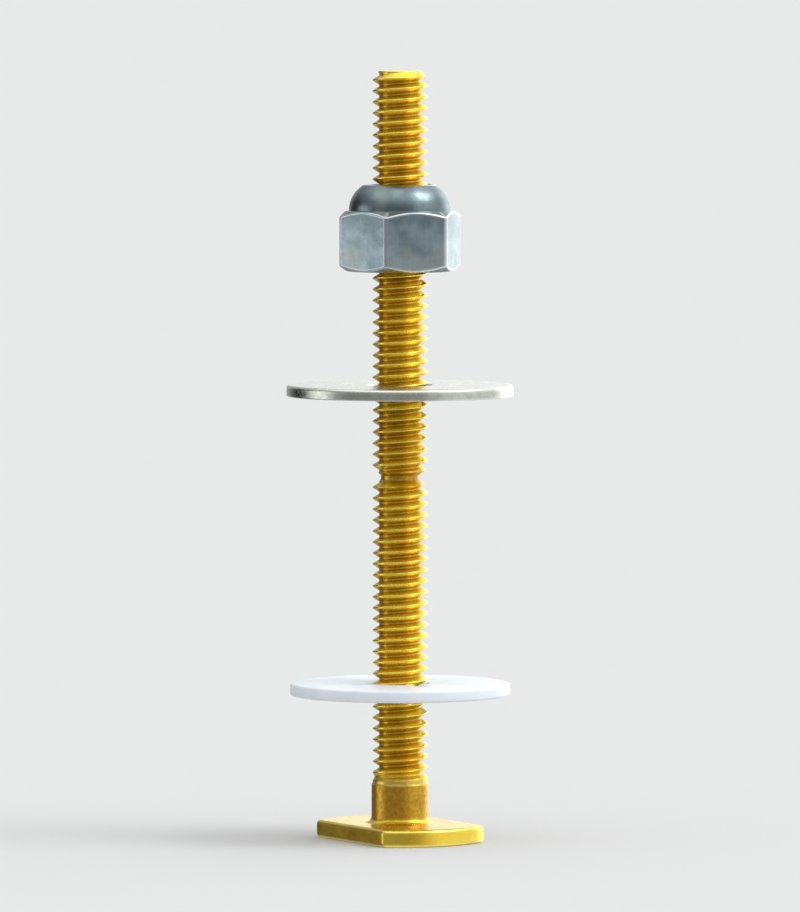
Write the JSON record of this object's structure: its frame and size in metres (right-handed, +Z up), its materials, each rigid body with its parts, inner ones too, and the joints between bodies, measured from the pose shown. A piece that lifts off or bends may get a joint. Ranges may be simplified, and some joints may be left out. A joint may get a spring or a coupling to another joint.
{
  "type": "toilet floor bolt set",
  "caption": "Brass T-head floor bolt with a right-hand thread and a break-off groove, a plastic retaining washer, a steel flat washer and an open-end cap nut.",
  "frame": {"origin": "centre of the underside of the T-head, on the axis of the bolt", "axes": "+Z up the bolt to its tip, +X along the head to a round end, +Y across the head's flats"},
  "size_m": [0.0262, 0.0262, 0.0889],
  "materials": {
    "brass": "plain rolled brass, satin, darker in the thread's roots",
    "white_plastic": "moulded polyethylene, cool white, soft sheen",
    "washer_steel": "stamped steel, bright plated, fine scratches",
    "nut_plate": "bright zinc plate with a cool blue cast"
  },
  "bodies": {
    "bolt": {"t_bolt": "brass"},
    "retainer": {"retaining_washer": "white_plastic"},
    "washer": {"flat_washer": "washer_steel"},
    "nut": {"cap_nut": "nut_plate"}
  },
  "joints": [
    {"name": "retainer_slide", "type": "slide", "parent": "bolt", "child": "retainer", "axis": [0, 0, 1], "range_m": [-0.01, 0.033]},
    {"name": "nut_spin", "type": "hinge", "parent": "bolt", "child": "washer", "pos_m": [0, 0, 0.0514], "axis": [0, 0, 1], "range_deg": [-3690, 5940]},
    {"name": "nut_travel", "type": "slide", "parent": "washer", "child": "nut", "axis": [0, 0, 1], "range_m": [-0.01302, 0.02096]}
  ],
  "couplings": [
    {"joint": "nut_travel", "follows": "nut_spin", "m_per_rad": 0.00020213}
  ]
}
